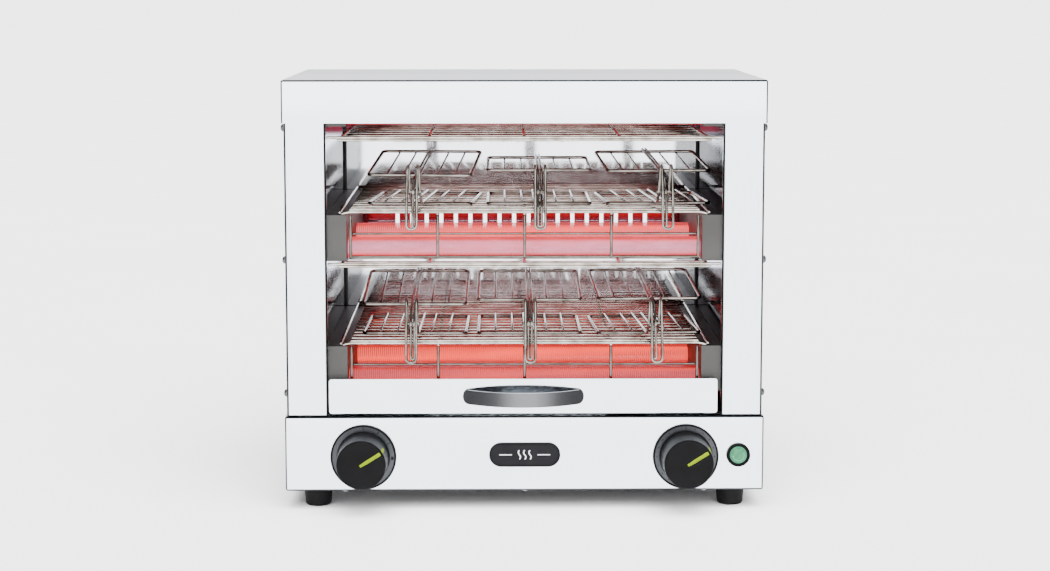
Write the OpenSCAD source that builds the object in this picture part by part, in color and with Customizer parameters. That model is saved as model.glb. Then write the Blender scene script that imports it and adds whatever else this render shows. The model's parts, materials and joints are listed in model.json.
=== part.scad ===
// Two-deck quartz toaster: a sheet-steel casing, three tiers of quartz tubes, two wire racks,
// six hand tongs, a crumb tray and two knobs. Millimetres, +Z up, the open front faces -Y.
// The origin is at the bottom centre of the whole object's box.

/* [Casing] */
// Width of the base and of the top cover
body_w = 450; // [446:1:460]
// Depth of the casing, front face to back face
body_d = 270; // [268:1:290]
// Height of the control base
base_h = 71; // [68:1:76]
// Height of the casing above the base
oven_h = 315; // [315:1:330]
// Height of the top cover's skirt
skirt_h = 40; // [36:1:42]
// Width of each front column
column_w = 39; // [38:1:40]
// Thickness of the steel sheet
sheet = 1.2; // [1:0.1:1.4]
// Height of the rubber feet
foot_h = 18; // [14:1:24]

/* [Decks] */
// Height of the lower rack above the base
rack_rise = 70.5; // [70:0.5:72]
// Height from the lower rack to the upper rack
tier_pitch = 123.5; // [123:0.5:125]
// Drop from a rack to the quartz tubes under it
tube_drop = 38.5; // [38:0.5:39.5]
// Outside diameter of a quartz tube
tube_d = 20; // [16:1:20]

/* [Wires] */
// Pitch of the rack's cross rods
rack_pitch = 17; // [15:1:20]
// Pitch of the guards' cross rods
guard_pitch = 32; // [28:1:40]
// Diameter of the thin rods
thin_d = 2.2; // [2:0.1:2.4]
// Diameter of the frame rods
frame_d = 3; // [2.8:0.1:3.2]

/* [Tongs] */
// Outside width of a tong's jaw
jaw_w = 100; // [90:1:100]
// Outside length of a tong's jaw
jaw_l = 108; // [100:1:115]
// Diameter of the two wires in each handle
handle_d = 2.6; // [2.4:0.1:2.6]

/* [Controls] */
// Diameter of a knob at its face
knob_d = 46; // [40:0.5:48]
// How much wider a knob is at its foot, on each side
knob_flare = 2; // [1:0.5:2.5]
// Length of a knob
knob_h = 36; // [28:1:36]
// Diameter of a dial ring
dial_d = 62; // [58:1:64]

/* [Crumb tray] */
// Height of the tray's front plate
tray_front_h = 33; // [28:1:33]
// How far the tray's handle stands out
pull_reach = 22; // [18:1:26]

/* [Hidden] */

$fn = 48;
wire_sides = 8;    // wires are straight eight-sided rods
fit_gap = 0.2;     // gap between sheets that lie against each other
weld = 0.3;        // how deep crossing wires sink into each other

// Where the front face lies, so that the origin is midway between the knobs and the cable gland
dial_t = 2;
knob_reach = dial_t + knob_h;
gland_reach = 14;
front_y = (knob_reach - body_d - gland_reach) / 2;
back_y = front_y + body_d;

// Heights
deck_z = foot_h + base_h;
top_z = deck_z + oven_h;
skirt_z = top_z - skirt_h;
lower_rack_z = deck_z + rack_rise;
upper_rack_z = lower_rack_z + tier_pitch;
mid_guard_z = upper_rack_z - 52.8;
top_guard_z = upper_rack_z + 65.2;
low_tube_z = lower_rack_z - tube_drop;
mid_tube_z = upper_rack_z - tube_drop;
top_tube_z = top_guard_z + 22;
ceiling_z = top_z - 20;
control_z = foot_h + 32.5;

// Widths, measured from the middle
skirt_inset = sheet + 0.7;                 // the columns stand this far inside the base and cover
panel_x = body_w / 2 - skirt_inset;
opening_x = panel_x - column_w;
liner_x = opening_x + sheet + fit_gap;
cover_x = opening_x - 18;                  // inner face of a tube cover
rack_x = cover_x - 4;
inner_rail_x = 81;
column_t = 1.5;                            // the columns stand this far behind the base's face
liner_t = 5;                               // depth at which the inner walls begin

// Tubes
tube_t = [38, 158];                        // depths of the front and the rear tube
tube_end_x = cover_x + 6;
cap_l = 10;

// Controls
knob_x = 151.5;
pilot_x = 201;
shaft_d = 6;
pointer_turn = 58;
pointer_w = 3.6;

// Tongs: sideways place, turn, rack height, opening, and height of the upper jaw over the pivot
jaw_wire_d = 3.2;
jaw_front = 33;                            // from the pivot to the jaw's front edge
pivot_rise = 16.7;                         // pivot above the rack's rods
pair_in = 1.6;                             // half spacing of the upper jaw's two handle wires
pair_out = 4.6;                            // half spacing of the lower jaw's two handle wires
eye_d = 8;
pin_d = 3;
TONGS = [
    [-94, -5, upper_rack_z, 8, 8],
    [14, 0, upper_rack_z, 2, 16],
    [123, 4, upper_rack_z, 5.5, 13.5],
    [-103, -1, lower_rack_z, 10, 8],
    [5, 0, lower_rack_z, 7.5, 13.5],
    [116, 3, lower_rack_z, 7.5, 13.5]
];

// ---------- helpers ----------

// A box from its lowest corner to its highest
module block(low, high) {
    translate(low) cube(high - low);
}

// A straight wire from point a to point b
module bar(a, b, d) {
    v = b - a;
    translate(a)
        rotate([0, acos(v[2] / norm(v)), atan2(v[1], v[0])])
            cylinder(h = norm(v), d = d, $fn = wire_sides);
}

function unit(v) = v / norm(v);
function quarter_turn(v) = [-v[1], v[0]];

// Half the width of a band at point i of its path, along the mitre of that corner
function mitre(path, i, w) =
    let (last = len(path) - 1,
        after = unit(path[min(i + 1, last)] - path[min(i, last - 1)]),
        before = unit(path[max(i, 1)] - path[max(i - 1, 0)]),
        middle = unit(before + after))
    quarter_turn(middle) / (middle * after) * w / 2;

// The outline of a band of width w along a path
function band(path, w) =
    let (last = len(path) - 1)
    concat([for (i = [0 : last]) path[i] + mitre(path, i, w)],
        [for (i = [last : -1 : 0]) path[i] - mitre(path, i, w)]);

// A rectangle with rounded corners that starts at y = 0
module round_plate(w, l, r) {
    translate([-w / 2 + r, 0]) square([w - 2 * r, l]);
    translate([-w / 2, r]) square([w, l - 2 * r]);
    for (x = [-w / 2 + r, w / 2 - r], y = [r, l - r])
        translate([x, y]) circle(r = r, $fn = 12);
}

// A cylinder along Y from y0 to y1
module y_cylinder(x, z, y0, y1, d) {
    translate([x, y0, z]) rotate([-90, 0, 0]) cylinder(h = y1 - y0, d = d);
}

// A cylinder along X from x0 to x1
module x_cylinder(y, z, x0, x1, d) {
    translate([x0, y, z]) rotate([0, 90, 0]) cylinder(h = x1 - x0, d = d);
}

// ---------- casing ----------

module base_housing() color([0.9, 0.92, 0.93]) {
    difference() {
        block([-body_w / 2, front_y, foot_h], [body_w / 2, back_y, deck_z]);
        block([-body_w / 2 + sheet, front_y + sheet, foot_h - 1],
            [body_w / 2 - sheet, back_y - sheet, deck_z + 1]);
        for (x = [-knob_x, knob_x])
            y_cylinder(x, control_z, front_y - 1, front_y + sheet + 1, 10);
        y_cylinder(pilot_x, control_z, front_y - 1, front_y + sheet + 1, 13);
        y_cylinder(gland_x, control_z, back_y - sheet - 1, back_y + 1, gland_d);
        for (i = [-4 : 4])
            block([i * 14 - 2, back_y - sheet - 1, control_z - 12], [i * 14 + 2, back_y + 1, control_z + 12]);
    }
}

module base_plate() color([0.7, 0.71, 0.72]) {
    edge = sheet + fit_gap;
    difference() {
        block([-body_w / 2 + edge, front_y + edge, foot_h],
            [body_w / 2 - edge, back_y - edge, foot_h + sheet]);
        for (x = [-90 : 15 : 90])
            block([x - 2, front_y + 90, foot_h - 1], [x + 2, front_y + 180, foot_h + sheet + 1]);
    }
}

module top_cover() color([0.92, 0.94, 0.95]) {
    difference() {
        block([-body_w / 2, front_y, skirt_z], [body_w / 2, back_y, top_z]);
        block([-body_w / 2 + sheet, front_y + sheet, skirt_z - 1],
            [body_w / 2 - sheet, back_y - sheet, top_z - sheet]);
    }
}

// The left panel; the right one is its mirror image
module side_panel() color([0.9, 0.92, 0.93]) {
    z0 = deck_z + sheet + fit_gap;
    z1 = top_z - sheet - fit_gap;
    front = front_y + column_t;
    back = back_y - sheet - fit_gap;
    difference() {
        union() {
            block([-panel_x, front, z0], [-panel_x + sheet, back, z1]);
            block([-panel_x, front, z0], [-opening_x, front + sheet, z1]);
            block([-opening_x - sheet, front, z0], [-opening_x, front_y + 7, skirt_z + 12]);
            block([-panel_x, back - sheet, z0], [-panel_x + 14, back, z1]);
        }
        for (p = screw_places())
            x_cylinder(p[0], p[1], -panel_x - 1, -panel_x + sheet + 1, 4.3);
    }
}

module back_panel() color([0.86, 0.87, 0.89]) {
    slots = 18;
    pitch = 15.35;
    y1 = back_y - 2 * sheet - 2 * fit_gap;
    difference() {
        block([-panel_x + sheet + fit_gap, y1 - sheet, deck_z + sheet + fit_gap],
            [panel_x - sheet - fit_gap, y1, top_z - sheet - fit_gap]);
        for (i = [0 : slots - 1], z = [upper_rack_z - 46, upper_rack_z + 60.6]) {
            x = (i - (slots - 1) / 2) * pitch;
            block([x - 2, y1 - sheet - 1, z], [x + 2, y1 + 1, z + 18]);
        }
    }
}

// The left inner wall; the right one is its mirror image
module inner_wall() color([0.84, 0.85, 0.88]) {
    block([-liner_x - sheet, front_y + liner_t, deck_z + sheet + fit_gap],
        [-liner_x, back_y - 3 * sheet - 3 * fit_gap, ceiling_z - fit_gap]);
}

module cavity_floor() color([0.75, 0.76, 0.78]) {
    block([-panel_x, front_y + 14, deck_z], [panel_x, back_y - sheet - fit_gap, deck_z + sheet]);
}

module cavity_ceiling() color([0.8, 0.81, 0.83]) {
    back = back_y - 3 * sheet - 3 * fit_gap;
    block([-liner_x - 12, front_y + liner_t, ceiling_z], [liner_x + 12, back, ceiling_z + sheet]);
    for (x = [-liner_x - 12, liner_x + 12 - sheet])
        block([x, front_y + liner_t, ceiling_z], [x + sheet, back, ceiling_z + 12]);
}

module badge_plate() color([0.25, 0.25, 0.27]) {
    translate([0, front_y, control_z + 2]) rotate([90, 0, 0])
        linear_extrude(2) {
            square([67 - 23, 23], center = true);
            for (s = [-1, 1]) translate([s * 22, 0]) circle(d = 23);
        }
}

module feet() color([0.08, 0.08, 0.09]) {
    for (x = [-196, 196], y = [front_y + 24, back_y - 24])
        translate([x, y, 0])
            rotate_extrude()
                polygon([[0, 0], [11, 0], [12.2, 1.2], [14, foot_h - 3], [14, foot_h], [0, foot_h]]);
}

// Where the side screws sit, as [y, z]
function screw_places() =
    [for (y = [front_y + 10, back_y - 12], z = [deck_z + 21, deck_z + 147, skirt_z - 4.5]) [y, z]];

// Height of a side screw's pan head
head_h = 3.2;

// A pan-head screw on each place, on both sides
module panel_screws() color([0.62, 0.63, 0.65]) {
    for (side = [0, 1], p = screw_places())
        mirror([side, 0, 0])
            translate([-panel_x, p[0], p[1]]) rotate([0, -90, 0]) {
                cylinder(h = head_h / 2, d = 7);
                translate([0, 0, head_h / 2]) cylinder(h = head_h / 2, d1 = 7, d2 = 4.4);
                translate([0, 0, -6]) cylinder(h = 6, d = 4);
            }
}

// ---------- heating ----------

// The left cover of one tier: a channel open towards the inner wall, which drops over its two
// tubes by round-topped slots that are open below
module tube_cover(tube_z, z0, z1) color([0.5, 0.5, 0.49]) {
    y0 = front_y + 8;
    y1 = back_y - 8;
    slot_w = tube_d + 0.6;
    difference() {
        block([-liner_x + fit_gap, y0, z0], [-cover_x, y1, z1]);
        block([-liner_x - 1, y0 + 1, z0 + 1], [-cover_x - 1, y1 - 1, z1 - 1]);
        for (t = tube_t) {
            y = front_y + t;
            x_cylinder(y, tube_z, -liner_x, -cover_x + 1, slot_w);
            block([-liner_x, y - slot_w / 2, z0 - 1], [-cover_x + 1, y + slot_w / 2, tube_z]);
        }
    }
}

module low_cover() tube_cover(low_tube_z, low_tube_z - 9.5, lower_rack_z - 5);
module mid_cover() tube_cover(mid_tube_z, mid_tube_z - 9.5, upper_rack_z - 5);
module top_tube_cover() tube_cover(top_tube_z, top_tube_z - 9.5, ceiling_z - 2);

// An open-ended quartz tube
module quartz_tube(t, z) color([1, 0.45, 0.4, 0.8]) {
    difference() {
        x_cylinder(front_y + t, z, -tube_end_x, tube_end_x, tube_d);
        x_cylinder(front_y + t, z, -tube_end_x - 1, tube_end_x + 1, tube_d - 3);
    }
}

// A thin sleeve in each tube, as wide as the coiled wire and about as heavy
module heating_coils() color([0.95, 0.3, 0.15]) {
    coil_d = tube_d - 5;
    for (t = tube_t, z = [low_tube_z, mid_tube_z, top_tube_z])
        difference() {
            x_cylinder(front_y + t, z, -tube_end_x, tube_end_x, coil_d);
            x_cylinder(front_y + t, z, -tube_end_x - 1, tube_end_x + 1, coil_d - 1.2);
        }
}

// A ceramic cap closes each end of each tube
module ceramic_end_caps() color([0.9, 0.88, 0.82]) {
    for (side = [0, 1], t = tube_t, z = [low_tube_z, mid_tube_z, top_tube_z])
        mirror([side, 0, 0]) {
            x_cylinder(front_y + t, z, tube_end_x, tube_end_x + cap_l, tube_d);
        }
}

// ---------- racks and guards ----------

// A flat grid: cross rods along X at height z, on front-to-back rods just under or over them
module grid(z, half, y0, y1, pitch, rails, rail_half, side) {
    rail_z = z + side * ((thin_d + frame_d) / 2 - weld);
    steps = round((y1 - y0) / pitch);
    for (i = [0 : steps]) {
        y = y0 + i * (y1 - y0) / steps;
        bar([-half, y, z], [half, y, z], thin_d);
    }
    for (x = rails)
        bar([x, y0 - 1, rail_z], [x, y1 + 1, rail_z], frame_d);
    for (y = [y0, y1])
        bar([-rail_half, y, rail_z], [rail_half, y, rail_z], frame_d - 0.2);
}

module rack(z) color([0.72, 0.7, 0.66]) {
    grid(z, rack_x + 2, front_y + 8, back_y - 9, rack_pitch,
        [-cover_x - 6, -inner_rail_x, 0, inner_rail_x, cover_x + 6], cover_x + 8, -1);
}

module guard(z) color([0.72, 0.7, 0.66]) {
    grid(z, cover_x + 8, front_y + 5, back_y - 12, guard_pitch,
        [-cover_x - 4, -88.8, 0, 88.8, cover_x + 4], opening_x - fit_gap, 1);
}

// The upright fence that hangs under a rack's front edge
module front_guard(rack_z) color([0.72, 0.7, 0.66]) {
    y = front_y + 8;
    top = rack_z - thin_d - frame_d + weld - 0.1;
    for (x = [-rack_x, -inner_rail_x, 0, inner_rail_x, rack_x])
        bar([x, y, rack_z - 45.5], [x, y, top], frame_d);
    bar([-rack_x - 2, y, rack_z - 44], [rack_x + 2, y, rack_z - 44], frame_d - 0.4);
    bar([-rack_x - 1, y + 2, rack_z - 22.5], [rack_x + 1, y + 2, rack_z - 22.5], thin_d);
}

// ---------- tongs: origin at the pivot, jaws towards +Y ----------

// The frame of a jaw with its four inner wires on the side given by face
module jaw_grid(z, face) {
    corner_r = 6;
    inner_d = 2;
    lie = (jaw_wire_d + inner_d) / 2 - weld;
    translate([0, jaw_front - jaw_wire_d / 2, z - jaw_wire_d / 2])
        linear_extrude(jaw_wire_d)
            difference() {
                round_plate(jaw_w, jaw_l, corner_r);
                translate([0, jaw_wire_d])
                    round_plate(jaw_w - 2 * jaw_wire_d, jaw_l - 2 * jaw_wire_d, corner_r - jaw_wire_d);
            }
    for (i = [-2, -1, 1, 2])
        translate([i * jaw_w / 6.2, jaw_front - 1, z + face * lie])
            block([-inner_d / 2, 0, -inner_d / 2], [inner_d / 2, jaw_l - 1.2, inner_d / 2]);
}

// Two wires along the same side-view path of [y, z] points, joined at both ends
module wire_pair(half, path) {
    ends = [path[0], path[len(path) - 1]];
    for (s = [-1, 1])
        translate([s * half - handle_d / 2, 0, 0])
            rotate([90, 0, 90]) linear_extrude(handle_d) polygon(band(path, handle_d));
    for (p = ends)
        translate([0, p[0], p[1]]) cube([2 * half, handle_d - 0.4, handle_d - 0.4], center = true);
}

// Fixed half: the grid that lies on the rack, the outer handle and the riveted pivot pin
module lower_jaw() color([0.7, 0.67, 0.62]) {
    z = -pivot_rise + 0.6 + jaw_wire_d / 2;
    pair_z = z + (jaw_wire_d + handle_d) / 2 - weld;
    jaw_grid(z, 1);
    wire_pair(pair_out, [[jaw_front + jaw_l - 3, pair_z], [14, pair_z], [8, pair_z + 3], [0, 0],
        [-8, 19], [-12, 26], [-18, 24], [-24, 2], [-28, -32]]);
    for (s = [0, 1])
        mirror([s, 0, 0])
            x_cylinder(0, 0, pair_out - handle_d / 2, pair_out + handle_d / 2, eye_d);
    x_cylinder(0, 0, -pair_out - 2.4, pair_out + 2.4, pin_d);
}

// Moving half: the grid that presses on the bread and the inner handle, with the pivot's eye
module upper_jaw(z) color([0.7, 0.67, 0.62]) {
    pair_z = z + (jaw_wire_d + handle_d) / 2 - weld;
    eye_half = pair_in + handle_d / 2;
    difference() {
        union() {
            jaw_grid(z, -1);
            wire_pair(pair_in, [[jaw_front + jaw_l - 3, pair_z], [16, pair_z], [8, 10], [0, 0],
                [-7, -14], [-12, -31]]);
            x_cylinder(0, 0, -eye_half, eye_half, eye_d);
        }
        x_cylinder(0, 0, -eye_half - 1, eye_half + 1, pin_d + 0.16);
    }
}

module place_tong(i) {
    t = TONGS[i - 1];
    middle = jaw_front + jaw_l / 2;
    translate([t[0], front_y + middle, t[2] + thin_d / 2 + pivot_rise])
        rotate([0, 0, t[1]])
            translate([0, -middle, 0]) children();
}

module tong_lower(i) place_tong(i) lower_jaw();
module tong_upper(i) place_tong(i) rotate([TONGS[i - 1][3], 0, 0]) upper_jaw(TONGS[i - 1][4]);

// ---------- crumb tray ----------

tray_x = opening_x - 2;
tray_z = deck_z + sheet + 1.3;
tray_off = -1.2;    // the tray is pushed against its left runner

module crumb_tray() color([0.93, 0.94, 0.95]) {
    front = front_y + 1;
    back = back_y - 14;
    wall_h = 12;
    translate([tray_off, 0, 0]) {
        block([-tray_x, front, tray_z], [tray_x, front + sheet, tray_z + tray_front_h]);
        difference() {
            block([-tray_x + 1, front, tray_z], [tray_x - 1, back, tray_z + wall_h]);
            block([-tray_x + 2, front + sheet, tray_z + 1], [tray_x - 2, back - 1, tray_z + wall_h + 1]);
        }
    }
}

// A bowed strip whose two feet lie on the tray's front plate
module tray_handle() color([0.55, 0.56, 0.58]) {
    span = 114;
    strip_h = 13.5;
    strip_t = 2;
    bow_r = (pow(span / 2, 2) + pow(pull_reach, 2)) / (2 * pull_reach);
    plate_y = front_y + 1;
    translate([tray_off, plate_y + bow_r - pull_reach, tray_z + tray_front_h / 2 - strip_h / 2])
        intersection() {
            difference() {
                cylinder(h = strip_h, r = bow_r, $fn = 128);
                translate([0, 0, -1]) cylinder(h = strip_h + 2, r = bow_r - strip_t, $fn = 128);
            }
            block([-span, -bow_r - 1, -1], [span, -bow_r + pull_reach, strip_h + 1]);
        }
}

// ---------- controls ----------

module control_shaft(x) color([0.6, 0.6, 0.62])
    y_cylinder(x, control_z, front_y - dial_t - 20, front_y + 24, shaft_d);

// A tapered round knob with a shallow groove for its pointer and a blind bore for the shaft
module control_knob(x) color([0.1, 0.1, 0.11]) {
    r = knob_d / 2;
    foot_r = r + knob_flare;
    depth = knob_h - 0.4;
    translate([x, front_y - dial_t - 0.4, control_z]) rotate([90, 0, 0])
        difference() {
            rotate_extrude($fn = 96)
                polygon([[0, 0], [foot_r, 0], [foot_r, 3], [foot_r - 0.6, 4.5], [r, depth - 2], [r - 2, depth],
                    [0, depth]]);
            translate([0, 0, -1]) cylinder(h = 21, d = shaft_d + 0.1);
            rotate([0, 0, 90 - pointer_turn]) {
                block([0, -pointer_w / 2, depth - 0.8], [r + 1, pointer_w / 2, depth + 1]);
                block([r - 1, -pointer_w / 2, depth - 16], [r + 3, pointer_w / 2, depth + 1]);
            }
        }
}

module dial(x) color([0.7, 0.71, 0.73])
    translate([x, front_y, control_z]) rotate([90, 0, 0])
        difference() {
            cylinder(h = dial_t, d = dial_d, $fn = 96);
            translate([0, 0, -1]) cylinder(h = dial_t + 2, d = 12);
        }

// A switch or timer body behind the panel, with the bush that its shaft turns in
module control_body(x, w, d) color([0.85, 0.84, 0.8]) {
    difference() {
        union() {
            block([x - w / 2, front_y + 8, control_z - w / 2], [x + w / 2, front_y + 8 + d, control_z + w / 2]);
            y_cylinder(x, control_z, front_y + sheet + 0.4, front_y + 8, 14);
        }
        y_cylinder(x, control_z, front_y, front_y + 25, shaft_d + 0.12);
    }
}

module pilot_bezel() color([0.05, 0.05, 0.05])
    difference() {
        union() {
            y_cylinder(pilot_x, control_z + 1.3, front_y - 2.4, front_y, 22.6);
            y_cylinder(pilot_x, control_z, front_y, front_y + 20, 12);
        }
        y_cylinder(pilot_x, control_z + 1.3, front_y - 3.4, front_y - 0.8, 18);
    }

module pilot_lens() color([0.3, 0.75, 0.5])
    translate([pilot_x, front_y - 0.8, control_z + 1.3]) rotate([90, 0, 0])
        rotate_extrude()
            polygon([[0, 0], [8.7, 0], [8.7, 1.8], [7, 3], [0, 3.6]]);

// ---------- supply ----------

gland_x = 150;
gland_d = 16;
cable_bore = 9;

module terminal_block() color([0.9, 0.9, 0.86]) {
    y = back_y - 46;
    difference() {
        block([gland_x - 60, y, foot_h + sheet + 0.2], [gland_x - 14, y + 18, foot_h + 18]);
        for (i = [0 : 3])
            block([gland_x - 56 + i * 11, y + 5, foot_h + 12], [gland_x - 49 + i * 11, y + 13, foot_h + 19]);
    }
}

module cable_gland() color([0.12, 0.12, 0.13])
    difference() {
        union() {
            y_cylinder(gland_x, control_z, back_y - 12, back_y + gland_reach, gland_d - 0.4);
            y_cylinder(gland_x, control_z, back_y, back_y + 4, 22);
            translate([gland_x, back_y - sheet - 5, control_z]) rotate([-90, 0, 0])
                cylinder(h = 4.8, d = 24, $fn = 6);
        }
        y_cylinder(gland_x, control_z, back_y - 13, back_y + gland_reach + 1, cable_bore);
    }

// ---------- nodes ----------

base_housing();
base_plate();
top_cover();
side_panel();  // left_side_panel
mirror([1, 0, 0]) side_panel();  // right_side_panel
back_panel();
inner_wall();  // left_inner_wall
mirror([1, 0, 0]) inner_wall();  // right_inner_wall
cavity_floor();
cavity_ceiling();
badge_plate();
feet();
panel_screws();
top_tube_cover();  // tube_cover_top_left
mirror([1, 0, 0]) top_tube_cover();  // tube_cover_top_right
mid_cover();  // tube_cover_mid_left
mirror([1, 0, 0]) mid_cover();  // tube_cover_mid_right
low_cover();  // tube_cover_low_left
mirror([1, 0, 0]) low_cover();  // tube_cover_low_right
quartz_tube(tube_t[0], top_tube_z);  // quartz_tube_top_front
quartz_tube(tube_t[1], top_tube_z);  // quartz_tube_top_rear
quartz_tube(tube_t[0], mid_tube_z);  // quartz_tube_mid_front
quartz_tube(tube_t[1], mid_tube_z);  // quartz_tube_mid_rear
quartz_tube(tube_t[0], low_tube_z);  // quartz_tube_low_front
quartz_tube(tube_t[1], low_tube_z);  // quartz_tube_low_rear
heating_coils();
ceramic_end_caps();
rack(upper_rack_z);  // upper_rack
rack(lower_rack_z);  // lower_rack
guard(top_guard_z);  // top_guard
guard(mid_guard_z);  // mid_guard
front_guard(upper_rack_z);  // mid_front_guard
front_guard(lower_rack_z);  // low_front_guard
for (i = [1 : 6]) {
    tong_lower(i);
    tong_upper(i);
}
crumb_tray();
tray_handle();
control_knob(-knob_x);  // selector_knob
control_shaft(-knob_x);  // selector_shaft
dial(-knob_x);  // selector_dial
control_body(-knob_x, 38, 30);  // selector_switch
control_knob(knob_x);  // timer_knob
control_shaft(knob_x);  // timer_shaft
dial(knob_x);  // timer_dial
control_body(knob_x, 44, 26);  // timer_body
pilot_bezel();
pilot_lens();
terminal_block();
cable_gland();
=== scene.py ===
"""Looks of the two-deck quartz toaster: meshes, materials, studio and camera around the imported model."""

import math
import json

import bmesh
import bpy
from mathutils import Matrix, Vector


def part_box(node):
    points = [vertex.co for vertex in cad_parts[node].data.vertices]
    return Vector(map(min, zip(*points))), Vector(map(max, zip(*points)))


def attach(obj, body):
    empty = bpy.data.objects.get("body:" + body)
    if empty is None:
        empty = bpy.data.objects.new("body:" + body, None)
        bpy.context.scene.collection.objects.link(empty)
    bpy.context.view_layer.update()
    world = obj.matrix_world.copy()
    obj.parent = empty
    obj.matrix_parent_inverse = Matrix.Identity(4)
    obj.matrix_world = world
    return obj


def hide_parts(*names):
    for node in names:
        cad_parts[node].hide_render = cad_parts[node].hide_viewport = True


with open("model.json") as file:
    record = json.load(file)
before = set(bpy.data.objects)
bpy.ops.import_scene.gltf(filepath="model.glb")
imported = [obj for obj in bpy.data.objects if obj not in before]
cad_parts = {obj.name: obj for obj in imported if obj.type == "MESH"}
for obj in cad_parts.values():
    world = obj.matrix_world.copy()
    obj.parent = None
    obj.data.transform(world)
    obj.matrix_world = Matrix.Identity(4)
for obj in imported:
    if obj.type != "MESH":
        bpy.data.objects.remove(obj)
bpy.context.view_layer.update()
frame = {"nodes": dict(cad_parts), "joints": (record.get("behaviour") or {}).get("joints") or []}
joints = {joint["name"]: joint for joint in frame["joints"]}

MM = 0.001
SHEET = 1.2 * MM

# Planes and sizes that several pieces share, most of them taken from the frame
base_low, base_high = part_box("base_housing")
cover_low, cover_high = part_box("top_cover")
panel_low, panel_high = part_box("left_side_panel")
floor_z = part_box("cavity_floor")[0].z
FRONT_Y = base_low.y
BACK_Y = base_high.y
OPENING_X = -panel_high.x
PANEL_X = -panel_low.x
COVER_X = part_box("tube_cover_mid_right")[0].x
RACK_RAIL_X, GUARD_RAIL_X = 81 * MM, 88.8 * MM
KNOB_FLARE = 2 * MM

# Steel gets a painted dark reflection where the largest part of its normal is under FOLD_START, and is plain
# over FOLD_END
FOLD_START, FOLD_END = 0.95, 0.99
FOLD_PAINTED_REFLECTION = (0.024, 0.026, 0.029)
UPRIGHT_FOLD_PAINTED_REFLECTION = (0.01, 0.0105, 0.012)
# Back wall silver, and the red glows painted into it as reflections of the tubes
SILVER, RED_GLOW_REFLECTION, DIM_GLOW_REFLECTION = (0.84, 0.86, 0.9), (0.26, 0.045, 0.065), (0.09, 0.012, 0.02)
# Side wall steel, and the dark tint painted into it as a reflection above the racks
WALL_BLUE, WALL_DARK_REFLECTION = (0.8, 0.82, 0.88), (0.02, 0.022, 0.03)


# ---------- mesh helpers ----------

def finish_mesh(name, bm, look, replaces="", sharp=35, body="casing"):
    """Turns a bmesh into a piece that rides on a body and may stand for the CAD node it replaces."""
    bmesh.ops.recalc_face_normals(bm, faces=bm.faces)
    mesh = bpy.data.meshes.new(name)
    bm.to_mesh(mesh)
    bm.free()
    mesh.shade_smooth()
    mesh.set_sharp_from_angle(angle=math.radians(sharp))
    piece = bpy.data.objects.new(name, mesh)
    bpy.context.scene.collection.objects.link(piece)
    mesh.materials.append(M[look])
    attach(piece, body)
    if replaces:
        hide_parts(replaces)
    return piece


def apply_modifiers(piece):
    """Bakes a piece's modifiers into its mesh."""
    graph = bpy.context.evaluated_depsgraph_get()
    mesh = bpy.data.meshes.new_from_object(piece.evaluated_get(graph))
    piece.modifiers.clear()
    piece.data = mesh
    return piece


def thickened(piece, thickness):
    """Gives a surface its sheet's thickness on the inner side, with crisp sheared edges."""
    modifier = piece.modifiers.new("sheet", "SOLIDIFY")
    modifier.thickness = thickness
    modifier.offset = -1
    apply_modifiers(piece)
    piece.data.set_sharp_from_angle(angle=math.radians(40))
    return piece


def bevelled(piece, width, segments=2, angle=30):
    """Rounds a piece's edges that are sharper than angle."""
    modifier = piece.modifiers.new("bevel", "BEVEL")
    modifier.width = width
    modifier.segments = segments
    modifier.limit_method = "ANGLE"
    modifier.angle_limit = math.radians(angle)
    modifier.harden_normals = True
    return apply_modifiers(piece)


def fillet(points, radius, steps=6, closed=False):
    """The same path with its corners turned into arcs of that radius."""
    path = [Vector(p) for p in points]
    count = len(path)
    out = []
    for i, corner in enumerate(path):
        if not closed and i in (0, count - 1):
            out.append(corner)
            continue
        back = path[i - 1] - corner
        ahead = path[(i + 1) % count] - corner
        turn = math.pi - back.angle(ahead)
        if turn < 0.03:
            out.append(corner)
            continue
        cut = min(radius * math.tan(turn / 2), 0.48 * back.length, 0.48 * ahead.length)
        arc_r = cut / math.tan(turn / 2)
        back.normalize()
        ahead.normalize()
        centre = corner + (back + ahead).normalized() * (arc_r / math.cos(turn / 2))
        spoke = corner + back * cut - centre
        axis = spoke.cross(corner + ahead * cut - centre)
        for step in range(steps + 1):
            out.append(centre + Matrix.Rotation(turn * step / steps, 3, axis) @ spoke)
    return out


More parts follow.
